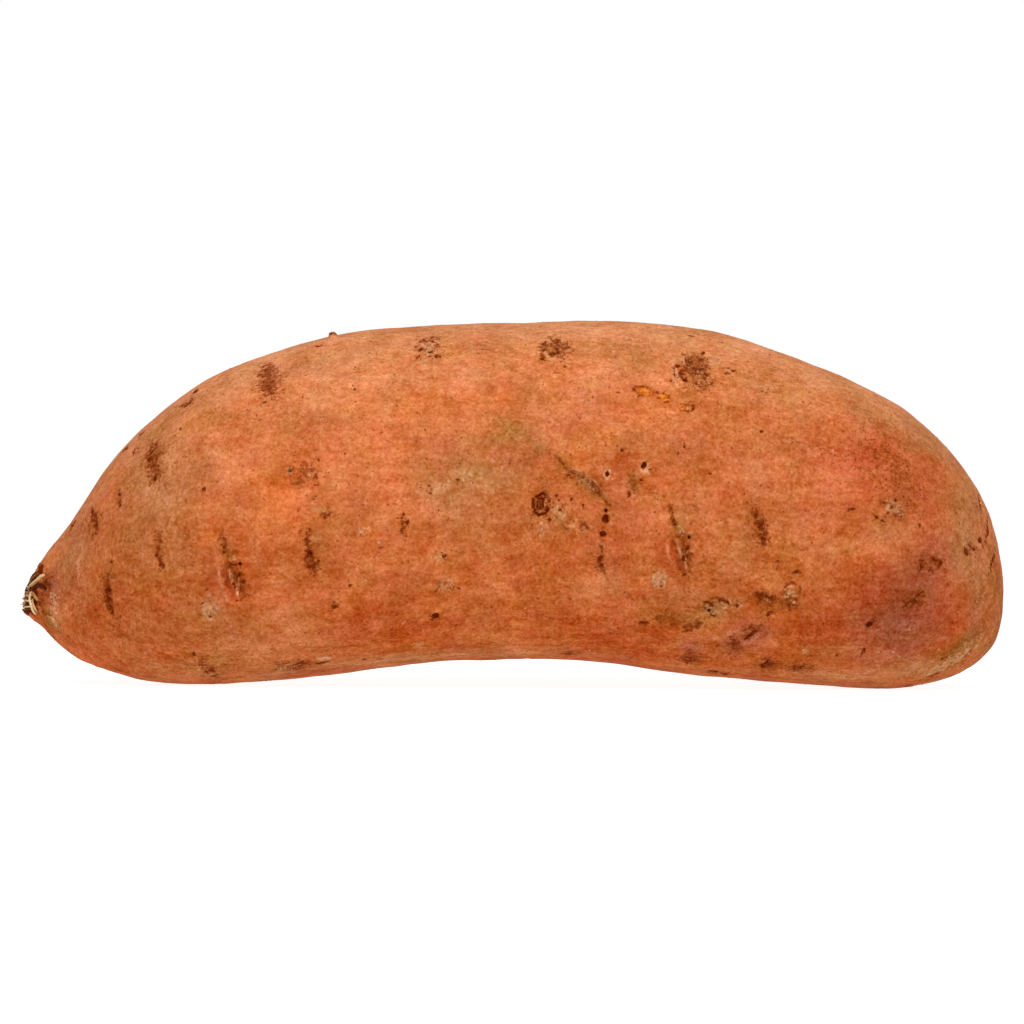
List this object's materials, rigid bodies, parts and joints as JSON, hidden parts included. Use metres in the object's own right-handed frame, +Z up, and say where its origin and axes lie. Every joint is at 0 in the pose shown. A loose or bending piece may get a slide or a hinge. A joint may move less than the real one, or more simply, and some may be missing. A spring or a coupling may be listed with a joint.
{
  "type": "sweet potato",
  "caption": "A whole raw sweet potato: an arched, swollen storage root with scarred orange skin and a short dried stem stub, for food, market and kitchen scenes.",
  "frame": {"origin": "on the surface that the root rests on, below the middle of its box", "axes": "+X from the dried stem stub to the blunt tail end, +Y from the front to the back, +Z up"},
  "size_m": [0.1798, 0.0618, 0.067],
  "materials": {
    "skin": "matte",
    "dried_stem": "matte"
  },
  "bodies": {
    "root": {"sweet_potato_root": "skin"}
  },
  "joints": []
}
